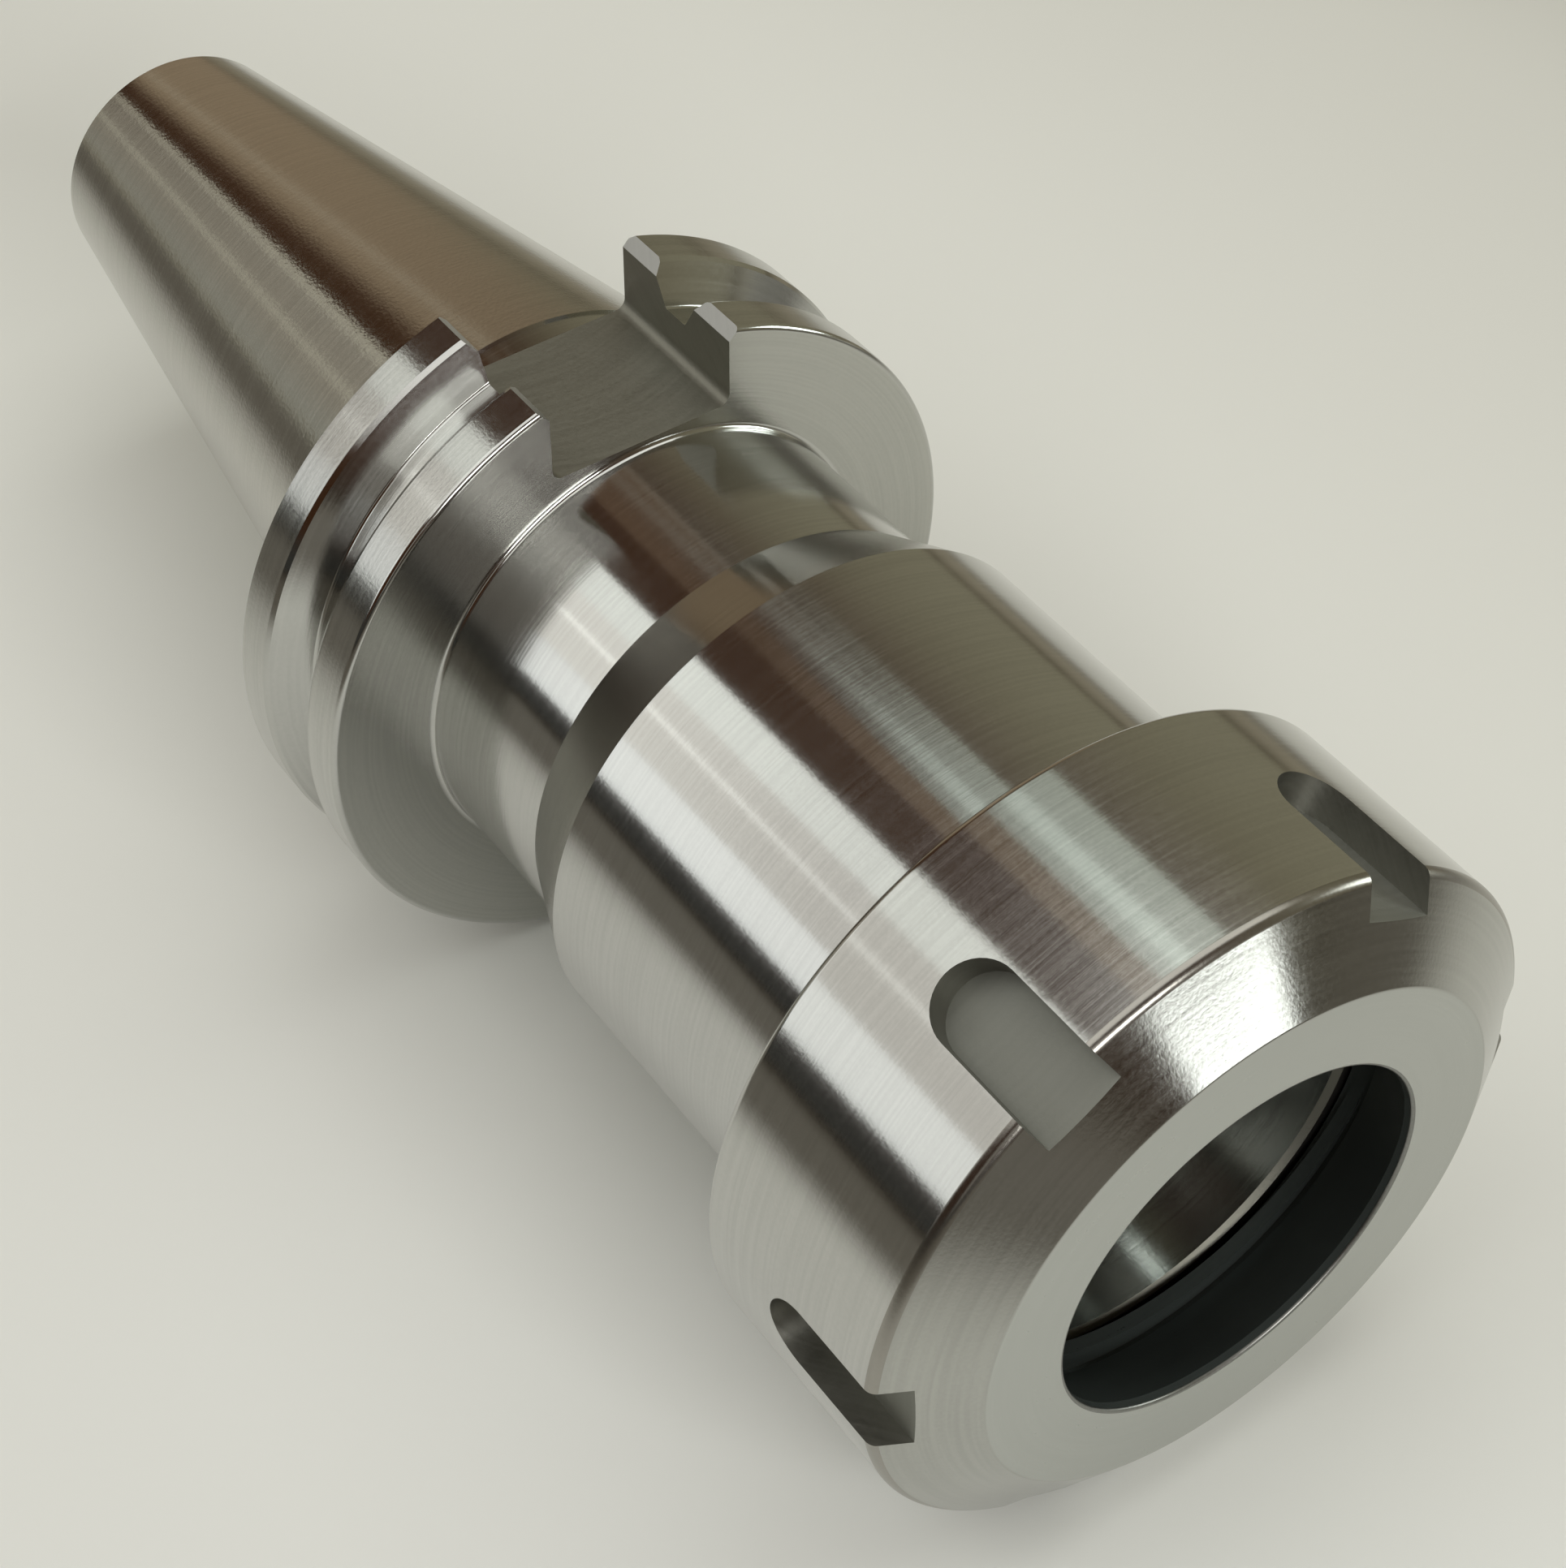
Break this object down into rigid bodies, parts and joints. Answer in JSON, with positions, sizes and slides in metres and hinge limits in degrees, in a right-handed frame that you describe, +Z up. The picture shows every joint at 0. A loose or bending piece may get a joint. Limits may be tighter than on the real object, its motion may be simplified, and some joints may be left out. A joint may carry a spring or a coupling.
{
  "type": "collet chuck holder",
  "caption": "Steep-taper tool holder with a V-grooved flange, two drive slots and a slotted clamping nut for a spring collet.",
  "frame": {"origin": "on the axis at the taper's gauge line", "axes": "+X along the axis from the taper towards the nut, +Z up through the upper drive slot, with the holder lying on its side"},
  "size_m": [0.1665, 0.0636, 0.063],
  "materials": {
    "ground_steel": "hardened, turned and ground",
    "satin_steel": "turned, satin, with milled spanner slots"
  },
  "bodies": {
    "holder": {"holder_body": "ground_steel"},
    "nut": {"clamping_nut": "satin_steel"}
  },
  "joints": [
    {"name": "nut_turn", "type": "hinge", "parent": "holder", "child": "nut", "pos_m": [0.0815, 0, 0], "axis": [1, 0, 0], "range_deg": [0, 2610]}
  ]
}
